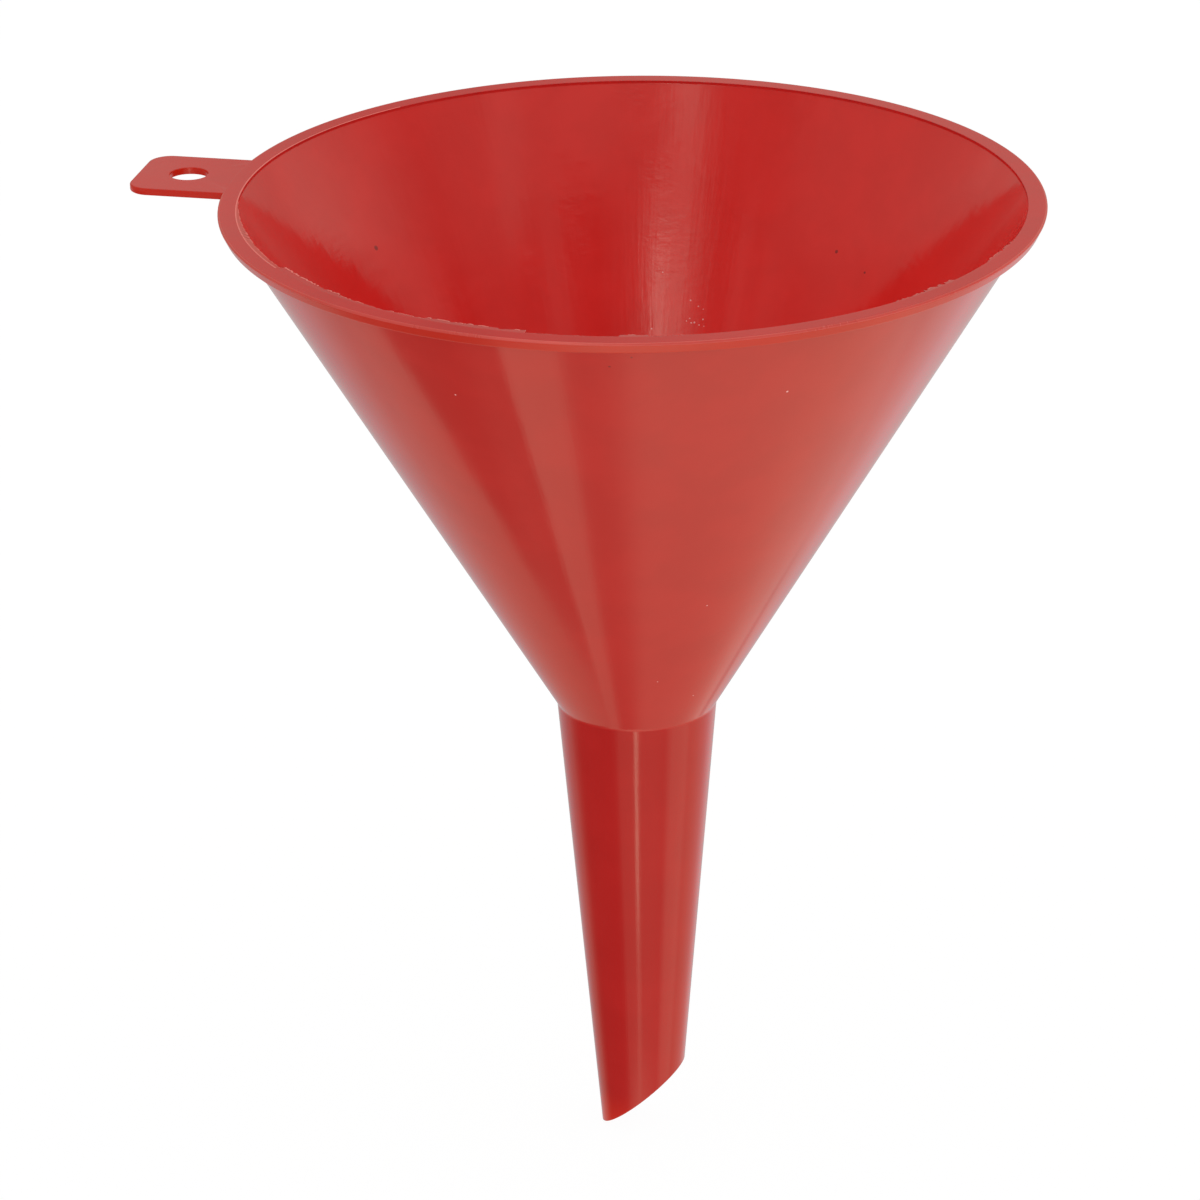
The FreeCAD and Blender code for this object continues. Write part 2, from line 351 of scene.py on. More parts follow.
def throat_section(azimuth):
    inner_rise = (BOWL_WALL_ACROSS - SPOUT_WALL_ACROSS) / (BOWL_SLOPE - SPOUT_TAPER)
    return section([
        (bowl_inside(BOWL_FOOT), BOWL_FOOT, 0, INSIDE),
        (bowl_inside(inner_rise), inner_rise, THROAT_ROUND + WALL, INSIDE),
        (spout_inside(SPOUT_TOP), SPOUT_TOP, 0, TUBE),
        (spout_outside(SPOUT_TOP), SPOUT_TOP, 0, TUBE),
        (NECK_RADIUS, 0, THROAT_ROUND, OUTSIDE),
        (bowl_outside(BOWL_FOOT), BOWL_FOOT, 0, OUTSIDE),
    ])


def cut_height(azimuth, radius_at_neck):
    """Where the slanted cut crosses the spout's wall line at an azimuth."""
    lean = CUT_SLOPE * math.cos(math.radians(azimuth))
    return (CUT_ON_AXIS + lean * radius_at_neck) / (1 - lean * SPOUT_TAPER)


def spout_section(azimuth):
    outer_foot = cut_height(azimuth, NECK_RADIUS)
    inner_foot = cut_height(azimuth, NECK_RADIUS - SPOUT_WALL_ACROSS)
    return section([
        (spout_inside(SPOUT_TOP), SPOUT_TOP, 0, INSIDE),
        (spout_inside(inner_foot), inner_foot, INNER_LIP_ROUND, TUBE),
        (spout_outside(outer_foot), outer_foot, LIP_ROUND, TUBE),
        (spout_outside(SPOUT_TOP), SPOUT_TOP, 0, TUBE),
    ])


def tab_outline(inset, root_radius):
    """The tab's outline, anticlockwise from the root's +Y end, drawn in by inset."""
    half = TAB_HALF_WIDTH - inset
    end = TAB_END + inset
    corner = TAB_CORNER - inset
    root_x = -math.sqrt(root_radius ** 2 - half ** 2)
    arc_x = end + corner
    arc_y = half - corner
    points = []
    for step in range(TAB_SIDE_STEPS):
        share = step / TAB_SIDE_STEPS
        points.append((root_x + (arc_x - root_x) * share, half))
    for step in range(TAB_CORNER_STEPS):
        turn = math.pi / 2 * (1 + step / TAB_CORNER_STEPS)
        points.append((arc_x + corner * math.cos(turn), arc_y + corner * math.sin(turn)))
    for step in range(TAB_SIDE_STEPS):
        share = step / TAB_SIDE_STEPS
        points.append((end, arc_y * (1 - 2 * share)))
    for step in range(TAB_CORNER_STEPS):
        turn = math.pi * (1 + step / TAB_CORNER_STEPS / 2)
        points.append((arc_x + corner * math.cos(turn), corner * math.sin(turn) - arc_y))
    for step in range(TAB_SIDE_STEPS):
        share = step / TAB_SIDE_STEPS
        points.append((arc_x + (root_x - arc_x) * share, -half))
    half_turn = math.asin(half / root_radius)
    for step in range(TAB_SIDE_STEPS):
        turn = math.pi + half_turn * (1 - 2 * step / TAB_SIDE_STEPS)
        points.append((root_radius * math.cos(turn), root_radius * math.sin(turn)))
    return points


def hole_outline(outline, widen):
    """One point of the hanging hole's edge towards each point of an outline."""
    points = []
    for x, y in outline:
        towards = Vector((x - HOLE_CENTRE.x, y - HOLE_CENTRE.y)).normalized()
        spot = towards * (HOLE_RADIUS + widen)
        points.append((HOLE_CENTRE.x + spot.x, HOLE_CENTRE.y + spot.y))
    return points


def tab_rows():
    """The tab's (outline, height) loops, from its top down its edge and up the hole.

    The top meets the rim where the rim's flat top ends. Below it the root lies hidden
    inside the rim. Over a quarter turn, fall goes from one to zero and swing from zero
    to one.
    """
    plain = tab_outline(0, RIM_FOOT_RADIUS)
    turns = [math.pi / 2 * step / BREAK_STEPS for step in range(BREAK_STEPS + 1)]
    quarter = [(1 - math.sin(turn), 1 - math.cos(turn)) for turn in turns]
    rows = []
    for row, (fall, swing) in enumerate(quarter):
        root_radius = RIM_FLAT_RADIUS if row == 0 else RIM_FOOT_RADIUS
        rows.append((tab_outline(TAB_BREAK * fall, root_radius), RIM_TOP - TAB_BREAK * swing))
    for fall, swing in quarter:
        rows.append((tab_outline(TAB_BREAK * swing, RIM_FOOT_RADIUS), TAB_FOOT + TAB_BREAK * fall))
    rows.append((tab_outline(TAB_BREAK + SUPPORT, RIM_FOOT_RADIUS), TAB_FOOT))
    rows.append((hole_outline(plain, HOLE_BREAK + SUPPORT), TAB_FOOT))
    for fall, swing in quarter:
        rows.append((hole_outline(plain, HOLE_BREAK * fall), TAB_FOOT + HOLE_BREAK * swing))
    for fall, swing in quarter:
        rows.append((hole_outline(plain, HOLE_BREAK * swing), RIM_TOP - HOLE_BREAK * fall))
    rows.append((hole_outline(plain, HOLE_BREAK + SUPPORT), RIM_TOP))
    rows.append((tab_outline(TAB_BREAK + SUPPORT, RIM_FLAT_RADIUS), RIM_TOP))
    return rows


def make_tab():
    """The hanging tab, as a closed skin over its rows."""
    rows = tab_rows()
    count = len(rows[0][0])
    points = [(x, y, height) for outline, height in rows for x, y in outline]
    faces = []
    sides = []
    for row in range(len(rows)):
        below = (row + 1) % len(rows)
        on_top = rows[row][1] == RIM_TOP and rows[below][1] == RIM_TOP
        here = row * count
        there = below * count
        for index in range(count):
            after = (index + 1) % count
            faces.append((there + index, there + after, here + after, here + index))
            sides.append(TOP if on_top else EDGE)
    return shaded_mesh("hanging_tab", points, faces, sides)


# ---------------------------------------------------------------- materials


class Nodes:
    """Short hand for building a node tree."""

    def __init__(self, tree):
        self.tree = tree

    def add(self, kind, **settings):
        node = self.tree.nodes.new(kind)
        for name, value in settings.items():
            setattr(node, name, value)
        return node

    def feed(self, value, socket):
        if isinstance(value, bpy.types.NodeSocket):
            self.tree.links.new(value, socket)
        else:
            socket.default_value = value

    def math(self, operation, first, second=0.0):
        node = self.add("ShaderNodeMath", operation=operation)
        self.feed(first, node.inputs[0])
        self.feed(second, node.inputs[1])
        return node.outputs[0]

    def spread(self, value, low, high, to_low=0.0, to_high=1.0, smooth=True):
        """Maps low..high to to_low..to_high, held at both ends."""
        kind = "SMOOTHSTEP" if smooth else "LINEAR"
        node = self.add("ShaderNodeMapRange", interpolation_type=kind)
        for socket, number in zip(node.inputs, (value, low, high, to_low, to_high)):
            self.feed(number, socket)
        return node.outputs[0]

    def noise(self, position, scale, detail=2.0, roughness=0.5):
        node = self.add("ShaderNodeTexNoise")
        self.feed(position, node.inputs["Vector"])
        self.feed(scale, node.inputs["Scale"])
        self.feed(detail, node.inputs["Detail"])
        self.feed(roughness, node.inputs["Roughness"])
        return node.outputs["Fac"]

    def mix_color(self, share, first, second):
        node = self.add("ShaderNodeMix", data_type="RGBA")
        self.feed(share, node.inputs[0])
        self.feed(first, node.inputs[6])
        self.feed(second, node.inputs[7])
        return node.outputs[2]

    def scale_color(self, color, factor):
        node = self.add("ShaderNodeVectorMath", operation="SCALE")
        self.feed(color[:3] if isinstance(color, tuple) else color, node.inputs[0])
        self.feed(factor, node.inputs["Scale"])
        return node.outputs[0]

    def combine(self, x, y, z):
        node = self.add("ShaderNodeCombineXYZ")
        for socket, value in zip(node.inputs, (x, y, z)):
            self.feed(value, socket)
        return node.outputs[0]


PLASTIC_IOR = 1.49
RELIEF = 0.06 * MM

# The reds of each finish. The one plastic's red is set brighter or darker from finish to finish, as
# painted light and shade on each face. The tip's deeper red starts at TIP_GLOW_TOP.
TIP_GLOW_TOP = -99.0 * MM
RED_OUTSIDE = (0.480, 0.0135, 0.0120)
RED_TUBE = (0.445, 0.0130, 0.0120)
RED_INSIDE = (0.600, 0.0200, 0.0165)
RED_DEEP = (0.705, 0.0180, 0.0150)
RED_TIP = (0.600, 0.0220, 0.0120)
RED_TOP = (0.535, 0.0140, 0.0140)
RED_EDGE = (0.515, 0.0130, 0.0040)
# Whitened flash, and the painted highlight on the rim's rounded top corner.
RED_WHITENED_AND_HIGHLIGHT = (0.580, 0.0560, 0.0430)
# The red of the painted highlights on the mouth's edge and on the flash's teeth.
RED_PAINTED_HIGHLIGHT = (0.760, 0.1500, 0.1250)

# Sizes of strewn specks, in millimetres.
SMALLEST_SPECK = 0.15
SPECK_RANGE = 0.14


def sprinkle(count, azimuth, azimuth_reach, height, height_reach):
    """Specks strewn round one spot on a wall, in no visible order.

    The steps between them are uneven shares of the reach, so they don't line up.
    """
    specks = []
    for index in range(count):
        across = index * 0.618 % 1.0 - 0.5
        up = index * index * 0.271 % 1.0 - 0.5
        size = SMALLEST_SPECK + SPECK_RANGE * (index * 0.732 % 1.0)
        specks.append((azimuth + azimuth_reach * across, height + height_reach * up, size))
    return specks


# Dust, chips and pits on the walls, and two dark spots just under the rim's front (the dark outside
# ones): azimuth, height in mm, size in mm.
PALE_OUTSIDE = [
    (-54, 103.4, 0.32), (-107, 102, 0.26), (-56, 39.8, 0.20), (-68.5, 16.3, 0.16),
    (-46, 9.5, 0.18),
]
DARK_OUTSIDE = [(-78.4, 117.0, 0.30), (-81.5, 114.4, 0.36)]
PALE_INSIDE = [(95.6, 81.7, 0.22), (97.6, 69.9, 0.22)]
PALE_INSIDE += sprinkle(7, 87.8, 5.0, 71.9, 1.8)
PALE_INSIDE += sprinkle(3, 88.5, 5.0, 77.5, 6.0)
DARK_INSIDE = [(156.4, 96.2, 0.75), (59.0, 91.0, 0.55), (50.3, 88.8, 0.40)]
SPECK_PALE = (0.80, 0.38, 0.36, 1.0)
SPECK_DARK = (0.25, 0.01, 0.01, 1.0)


def speck_mask(n, position, specks, wall_radius):
    """One at the specks' centres, falling to zero at their edges."""
    mask = 0.0
    for azimuth, height, size in specks:
        turn = math.radians(azimuth)
        radius = wall_radius(height * MM)
        gap = n.add("ShaderNodeVectorMath", operation="DISTANCE")
        n.feed(position, gap.inputs[0])
        gap.inputs[1].default_value = (radius * math.cos(turn), radius * math.sin(turn), height * MM)
        spot = n.spread(gap.outputs["Value"], size * MM, 0.5 * size * MM)
        mask = n.math("MAXIMUM", mask, spot)
    return mask


def plastic_color(n, position, around_x, height, mottle, look):
    """Red, a little uneven, deeper where light comes through, with specks."""
    color = (*look["red"], 1.0)
    if "deep" in look:
        deep_red, start, end = look["deep"]
        color = n.mix_color(n.spread(height, start, end), color, (*deep_red, 1.0))
    lift = n.spread(mottle, 0.35, 0.65, 0.96, 1.02)
    if "side" in look:
        towards_x = n.math("ADD", n.math("MULTIPLY", around_x, look["side"]), 1.0)
        lift = n.math("MULTIPLY", lift, towards_x)
    color = n.scale_color(color, lift)
    for specks, speck_color in ((look.get("dark"), SPECK_DARK), (look.get("pale"), SPECK_PALE)):
        if specks:
            color = n.mix_color(speck_mask(n, position, specks, look["wall"]), color, speck_color)
    return color


def rubbed_patches(n, position, around_y, height):
    """Where cleaning has scuffed the surface: here and there, and most at +Y."""
    patches = n.spread(n.noise(position, scale=90.0), 0.45, 0.65)
    towards_y = n.spread(around_y, 0.980, 0.997)
    below_mouth = n.spread(height, 108 * MM, 90 * MM)
    return n.math("MAXIMUM", patches, n.math("MULTIPLY", towards_y, below_mouth))


def make_plastic(name, roughness, streaks, **look):
    """Moulded gloss plastic: even red, fine drawn streaks, haze, scuffs, dust.

    look holds the red and, where wanted, more. The wall lets some light through. It
    shows as a deeper red low in the bowl, at the thin tip, and towards +X where there is
    a side share. deep holds a colour and the heights where it starts and where it is
    full. pale and dark are specks on the wall whose radius wall gives. flare bends the
    reflections as if the wall opened out a little under the rim, beside the tab.
    """
    material = bpy.data.materials.new(name)
    material.use_nodes = True
    tree = material.node_tree
    tree.nodes.clear()
    n = Nodes(tree)
    position = n.add("ShaderNodeTexCoord").outputs["Object"]
    split = n.add("ShaderNodeSeparateXYZ")
    n.feed(position, split.inputs[0])
    x, y, height = split.outputs
    radius = n.math("SQRT", n.math("ADD", n.math("MULTIPLY", x, x), n.math("MULTIPLY", y, y)))
    around_x = n.math("DIVIDE", x, radius)
    around_y = n.math("DIVIDE", y, radius)
    # Streaks run down the draw direction: fast round the axis, slow along it. Scuffs
    # run across it.
    drawn = n.combine(around_x, around_y, n.math("MULTIPLY", height, 1.2))
    streak = n.noise(drawn, scale=45.0, detail=3.0, roughness=0.6)
    fine_streak = n.noise(drawn, scale=160.0, roughness=0.6)
    wave = n.noise(position, scale=35.0, detail=1.0)
    grain = n.noise(position, scale=1400.0)
    mottle = n.noise(position, scale=60.0, detail=3.0, roughness=0.6)
    rubbed = n.combine(x, y, n.math("MULTIPLY", height, 2.5))
    rub = n.noise(rubbed, scale=330.0, roughness=0.6)
    rub = n.math("MULTIPLY", rub, rubbed_patches(n, position, around_y, height))

    shader = n.add("ShaderNodeBsdfPrincipled")
    shader.inputs["IOR"].default_value = PLASTIC_IOR
    color = plastic_color(n, position, around_x, height, mottle, look)
    n.feed(color, shader.inputs["Base Color"])

    haze = n.spread(mottle, 0.3, 0.7, roughness * 0.88, roughness * 1.12)
    uneven = n.math("MULTIPLY", n.math("SUBTRACT", streak, 0.5), streaks * 0.25)
    n.feed(n.math("ADD", haze, uneven), shader.inputs["Roughness"])

    relief = n.math("MULTIPLY", streak, streaks)
    layers = (
        (fine_streak, streaks * 0.25), (wave, 1.2), (grain, 0.006), (rub, streaks * streaks * 2.6),
    )
    for layer, depth in layers:
        relief = n.math("ADD", relief, n.math("MULTIPLY", layer, depth))
    if "flare" in look:
        near_tab = n.spread(around_x, -0.60, -1.0)
        opening = n.spread(height, 95 * MM, 135 * MM, 0.0, look["flare"])
        relief = n.math("SUBTRACT", relief, n.math("MULTIPLY", near_tab, opening))
    bump = n.add("ShaderNodeBump")
    bump.inputs["Strength"].default_value = 1.0
    bump.inputs["Distance"].default_value = RELIEF
    n.feed(relief, bump.inputs["Height"])
    n.feed(bump.outputs[0], shader.inputs["Normal"])

    output = n.add("ShaderNodeOutputMaterial")
    n.feed(shader.outputs[0], output.inputs["Surface"])
    return material


# ---------------------------------------------------------------- studio

# The studio as a glossy surface meets it. Pale and dark panels lie on a table far below
# the object. Places on it are given as shares of the drop to it, across (+X) and towards
# the back (+Y). The stops are (across, brightness).
TABLE_DROP = 0.82
TABLE_HEIGHT = -0.80
TABLE_HALF_WIDTH = 6.0
BACK_PANELS = [
    (-0.22, 0.95), (-0.17, 0.52), (-0.12, 0.46), (-0.05, 0.53), (0.0, 0.67), (0.06, 0.90),
    (0.12, 0.99), (0.30, 0.97), (0.50, 0.94),
]
FRONT_PANELS = [
    (-0.80, 0.25), (-0.55, 0.35), (-0.40, 0.52), (-0.25, 0.85), (-0.10, 1.20), (0.0, 1.45),
    (0.40, 1.45), (0.60, 1.15), (0.95, 1.0),
]

# Where the front panels take over, and the spot round which the back ones are duller.
FRONT_START = (-0.33, -0.42)
FADE_SPOT = (-0.05, 0.35)
FADE_REACH = (0.46, 0.61)
FADE_LEVEL = 0.70

# The panels on the left, towards -X: a pale one, and a dark one that is less dark nearer
# the middle. An edge is (degrees from +X towards the back that it faces, distance).
LEFT_DARK = (0.19, 0.31)
LEFT_DARK_REACH = (-0.62, -0.46)
LEFT_PALE = 0.60
LEFT_SEAM = (62, -0.215)
LEFT_SEAM_SOFT = 0.025
LEFT_EDGE = (-38, -0.207)
LEFT_LIMIT = (0, -0.42)
LEFT_EDGE_SOFT = 0.015

# Further out the panels stand round the object. The stops are (azimuth from the front
# towards +X, brightness).
LOW_BELT = [
    (-180, 0.60), (-160, 0.56), (-130, 0.60), (-106, 0.48), (-98, 0.30), (-88, 0.14),
    (-80, 0.10), (-30, 0.10), (-22, 0.20), (-17, 0.50), (3, 0.60), (6.5, 0.72), (8.3, 3.30),
    (10.7, 3.30), (12.7, 1.10), (17, 0.60), (40, 0.55), (55, 0.48), (67, 1.03), (92, 1.08),
    (99, 0.77), (135, 0.80), (150, 0.88), (163, 0.84), (173, 0.66), (180, 0.60),
]

# How far out the belt starts, its bright bar shows in full, and the light is neutral.
BELT_START = (1.02, 1.14)
BAR_START = (1.22, 1.30)
NEAR_BAR_LIMIT = 1.15
FAR_BAR_LIMIT = 3.6
NEUTRAL_START = (0.2, 1.35)
NEUTRAL_SLANT = 0.2

# What reflections meet beyond the table and below the tent.
FAR_UPPER = 0.47

# Above the object hangs a light tent: its brightness nearer the top and nearer its edge.
TENT_HIGH = [
    (-180, 0.52), (-170, 0.49), (-164, 0.36), (-157, 0.30), (-150, 0.34), (-145, 0.46),
    (-138, 0.58), (-128, 0.50), (-75, 0.48), (-67, 0.44), (-60, 0.31), (-54, 0.23), (-34, 0.22),
    (-27, 0.42), (-22, 0.95), (-18, 1.45), (-12, 1.48), (-6, 0.85), (1, 0.53), (42, 0.51),
    (57, 0.47), (67, 0.68), (73, 0.70), (79, 0.42), (92, 0.39), (102, 0.27), (112, 0.40),
    (122, 0.65), (143, 0.85), (154, 0.78), (166, 0.48), (180, 0.52),
]
TENT_LOW = [
    (-140, 0.40), (-105, 0.29), (-87, 0.35), (-72, 0.25), (-57, 0.42), (-51, 0.21),
    (-46, 0.47), (-42, 0.46), (-38, 0.16), (-31, 0.24), (-23, 0.70), (-18, 1.00), (-13, 1.95),
    (-7, 1.55), (-4, 3.00), (-1, 3.10), (2, 1.20), (7, 0.50), (14, 0.34), (22, 0.19),
    (30, 0.09), (43, 0.10), (51, 0.42), (57, 0.41), (63, 0.14), (80, 0.26), (92, 0.21),
    (102, 0.05), (112, 0.42), (118, 0.50), (135, 0.40),
]

# Levels on the tent are heights on a ball of radius one, tilted up towards an azimuth
# from the front. The rows of panels meet at the seam, and a dull band crosses the bar.
TENT_FACING = 12
TENT_TILT = 0.336
TENT_SEAM = 0.638
SEAM_BLEND = (0.63, 0.70)
SIDE_SEAM_DROP = 0.035
SEAM_LIMIT = 1.15
OPEN_LIMIT = 3.0
BAR_AZIMUTH = -12
DULL_LEVEL = 0.68
DULL_SHARE = 0.27
CEILING = 1.6

TENT_RADIUS = 0.300
TENT_CENTRE = 0.060
TENT_ROWS = 24
TENT_COLUMNS = 96
TENT_TINT = (1.0, 1.0, 0.85, 1.0)
TABLE_TINT = (1.0, 1.0, 0.73, 1.0)

# The floor glows almost white by itself, and its grey takes a faint shade.
FLOOR_HALF_WIDTH = 3.0
FLOOR_GREY = 0.04
FLOOR_GLOW = 0.965

# How much stronger the soft light is straight from +X than from the front.
SIDE_LIGHT = 0.17


def brightness_ramp(n, value, low, high, stops):
    """A colour ramp over value from low to high."""
    node = n.add("ShaderNodeValToRGB")
    ramp = node.color_ramp
    while len(ramp.elements) > 1:
        ramp.elements.remove(ramp.elements[0])
    for index, (place, brightness) in enumerate(stops):
        spot = (place - low) / (high - low)
        element = ramp.elements[0] if index == 0 else ramp.elements.new(spot)
        element.position = spot
        element.color = (brightness, brightness, brightness, 1.0)
    n.feed(n.spread(value, low, high, smooth=False), node.inputs[0])
    return node.outputs[0]


def azimuth_of(n, x, y):
    """Degrees from the front (-Y) towards +X."""
    turn = n.math("ARCTAN2", x, n.math("MULTIPLY", y, -1.0))
    return n.math("MULTIPLY", turn, 180 / math.pi)


def tint(n, color, tint_color):
    node = n.add("ShaderNodeMix", data_type="RGBA", blend_type="MULTIPLY")
    node.inputs[0].default_value = 1.0
    n.feed(color, node.inputs[6])
    node.inputs[7].default_value = tint_color
    return node.outputs[2]


def grey(level):
    return (level, level, level, 1.0)


def square(half, height):
    """The corners of a level square round the Z axis."""
    corners = [(-half, -half), (half, -half), (half, half), (-half, half)]
    return [(x, y, height) for x, y in corners]


def make_world():
    """Soft light all round, a little stronger from +X, for all but reflections."""
    world = bpy.data.worlds.new("studio")
    bpy.context.scene.world = world
    world.use_nodes = True
    world.cycles.sampling_method = "NONE"
    tree = world.node_tree
    tree.nodes.clear()
    n = Nodes(tree)
    split = n.add("ShaderNodeSeparateXYZ")
    n.feed(n.add("ShaderNodeTexCoord").outputs["Generated"], split.inputs[0])
    side = n.math("MULTIPLY", split.outputs[0], SIDE_LIGHT)
    path = n.add("ShaderNodeLightPath")
    side = n.math("MULTIPLY", side, path.outputs["Is Diffuse Ray"])
    strength = n.math("ADD", side, 1.0)
    seen = n.mix_color(path.outputs["Is Glossy Ray"], grey(1.0), tint(n, grey(FAR_UPPER), TENT_TINT))
    background = n.add("ShaderNodeBackground")
    n.feed(seen, background.inputs["Color"])
    n.feed(strength, background.inputs["Strength"])
    output = n.add("ShaderNodeOutputWorld")
    n.feed(background.outputs[0], output.inputs["Surface"])


def reflected_only(name, points, faces, material):
    """A glowing stage mesh that only reflections meet."""
    mesh = bpy.data.meshes.new(name)
    mesh.from_pydata(points, [], faces)
    mesh.materials.append(material)
    stage = bpy.data.objects.new(name, mesh)
    bpy.context.scene.collection.objects.link(stage)
    stage.visible_camera = False
    stage.visible_diffuse = False
    stage.visible_shadow = False
    stage.visible_transmission = False


def glow_material(name):
    material = bpy.data.materials.new(name)
    material.use_nodes = True
    material.cycles.emission_sampling = "NONE"
    material.node_tree.nodes.clear()
    return material


def make_table():
    """The panelled table as reflections meet it."""
    material = glow_material("table_glow")
    n = Nodes(material.node_tree)
    split = n.add("ShaderNodeSeparateXYZ")
    n.feed(n.add("ShaderNodeTexCoord").outputs["Object"], split.inputs[0])
    across = n.math("DIVIDE", split.outputs[0], TABLE_DROP)
    back = n.math("DIVIDE", split.outputs[1], TABLE_DROP)
    azimuth = azimuth_of(n, across, back)

    def distance(centre_across, centre_back):
        squared = n.math("POWER", n.math("SUBTRACT", across, centre_across), 2.0)
        back_squared = n.math("POWER", n.math("SUBTRACT", back, centre_back), 2.0)
        return n.math("SQRT", n.math("ADD", squared, back_squared))

    def line(degrees, offset):
        """Signed distance past a straight edge that faces this way on the table."""
        turn = math.radians(degrees)
        along_x = n.math("MULTIPLY", across, math.cos(turn))
        along_y = n.math("MULTIPLY", back, math.sin(turn))
        return n.math("SUBTRACT", n.math("ADD", along_x, along_y), offset)

    # The back panels are duller round one spot.
    fade = n.spread(distance(*FADE_SPOT), *FADE_REACH, FADE_LEVEL, 1.0, smooth=False)
    panels = brightness_ramp(n, across, -1.0, 1.0, BACK_PANELS)
    panels = n.scale_color(panels, fade)
    left_dark = n.spread(across, *LEFT_DARK_REACH, *LEFT_DARK)
    left_share = n.spread(line(*LEFT_SEAM), -LEFT_SEAM_SOFT, LEFT_SEAM_SOFT)
    left = n.mix_color(left_share, left_dark, grey(LEFT_PALE))
    left_edge = n.math("MINIMUM", line(*LEFT_EDGE), line(*LEFT_LIMIT))
    table = n.mix_color(n.spread(left_edge, -LEFT_EDGE_SOFT, LEFT_EDGE_SOFT), left, panels)
    front = brightness_ramp(n, across, -1.0, 1.0, FRONT_PANELS)
    table = n.mix_color(n.spread(back, *FRONT_START), table, front)
    belt = brightness_ramp(n, azimuth, -180, 180, LOW_BELT)
    belt_limit = n.spread(distance(0, 0), *BAR_START, NEAR_BAR_LIMIT, FAR_BAR_LIMIT)
    belt = n.math("MINIMUM", belt, belt_limit)
    glow = n.mix_color(n.spread(distance(0, 0), *BELT_START), table, belt)
    # Panels under and before the object look warm, the far ones behind it neutral.
    farness = n.math("SUBTRACT", back, n.math("MULTIPLY", across, NEUTRAL_SLANT))
    neutral = n.spread(farness, *NEUTRAL_START, smooth=False)
    glow = n.mix_color(neutral, tint(n, glow, TABLE_TINT), glow)
    light = n.add("ShaderNodeEmission")
    n.feed(glow, light.inputs["Color"])
    output = n.add("ShaderNodeOutputMaterial")
    n.feed(light.outputs[0], output.inputs["Surface"])
    reflected_only("table", square(TABLE_HALF_WIDTH, TABLE_HEIGHT), [(0, 1, 2, 3)], material)


def tent_dome(rows, columns):
    """The points and faces of half a ball round the object."""
    centre = Vector((0, 0, TENT_CENTRE))
    points = []
    for row in range(rows):
        rise = math.pi / 2 * row / rows
        for column in range(columns):
            turn = 2 * math.pi * column / columns
            level = Vector((math.cos(turn), math.sin(turn), 0)) * math.cos(rise)
            points.append(centre + (level + Vector((0, 0, math.sin(rise)))) * TENT_RADIUS)
    points.append(centre + Vector((0, 0, TENT_RADIUS)))
    faces = []
    top = rows * columns
    for column in range(columns):
        after = (column + 1) % columns
        for here in range(0, top - columns, columns):
            above = here + columns
            faces.append((here + column, here + after, above + after, above + column))
        faces.append((top - columns + column, top - columns + after, top))
    return points, faces


def make_tent():
    """The upper half of a round light tent, which only reflections meet."""
    material = glow_material("tent_glow")
    n = Nodes(material.node_tree)
    offset = n.add("ShaderNodeVectorMath", operation="SUBTRACT")
    n.feed(n.add("ShaderNodeTexCoord").outputs["Object"], offset.inputs[0])
    offset.inputs[1].default_value = (0, 0, TENT_CENTRE)
    direction = n.add("ShaderNodeVectorMath", operation="NORMALIZE")
    n.feed(offset.outputs[0], direction.inputs[0])
    split = n.add("ShaderNodeSeparateXYZ")
    n.feed(direction.outputs[0], split.inputs[0])
    x, y, z = split.outputs
    azimuth = azimuth_of(n, x, y)
    # The rows of panels are tilted, and stand higher on the camera's side.
    facing = math.radians(TENT_FACING)
    front_x = n.math("MULTIPLY", x, math.sin(facing))
    front_y = n.math("MULTIPLY", y, -math.cos(facing))
    front = n.math("ADD", front_x, front_y)
    level = n.math("SUBTRACT", z, n.math("MULTIPLY", front, TENT_TILT))
    high = brightness_ramp(n, azimuth, -180, 180, TENT_HIGH)
    low = brightness_ramp(n, azimuth, -180, 180, TENT_LOW)
    # The two rows of panels meet a little lower at the sides and the back.
    seam_drop = n.spread(n.math("ABSOLUTE", azimuth), 55, 75, 0.0, SIDE_SEAM_DROP)
    glow = n.mix_color(n.spread(n.math("ADD", level, seam_drop), *SEAM_BLEND), low, high)
    # A dull band crosses the bright bar just above the seam.
    from_band = n.math("ABSOLUTE", n.math("SUBTRACT", level, DULL_LEVEL))
    from_bar = n.math("ABSOLUTE", n.math("SUBTRACT", azimuth, BAR_AZIMUTH))
    by_level = n.spread(from_band, 0.01, 0.06, 1.0, 0.0)
    by_azimuth = n.spread(from_bar, 25, 40, 1.0, 0.0)
    dull = n.math("MULTIPLY", n.math("MULTIPLY", by_level, by_azimuth), DULL_SHARE)
    glow = n.scale_color(glow, n.math("SUBTRACT", 1.0, dull))
    from_seam = n.math("ABSOLUTE", n.math("SUBTRACT", level, TENT_SEAM))
    seam_limit = n.spread(from_seam, 0.012, 0.030, SEAM_LIMIT, OPEN_LIMIT)
    glow = n.math("MINIMUM", glow, seam_limit)
    glow = n.math("MULTIPLY", glow, n.spread(level, 0.74, 0.87, 1.0, 0.8))
    glow = n.mix_color(n.spread(z, 0.90, 0.95), glow, grey(CEILING))
    light = n.add("ShaderNodeEmission")
    n.feed(tint(n, glow, TENT_TINT), light.inputs["Color"])
    output = n.add("ShaderNodeOutputMaterial")
    n.feed(light.outputs[0], output.inputs["Surface"])
    reflected_only("light_tent", *tent_dome(TENT_ROWS, TENT_COLUMNS), material)


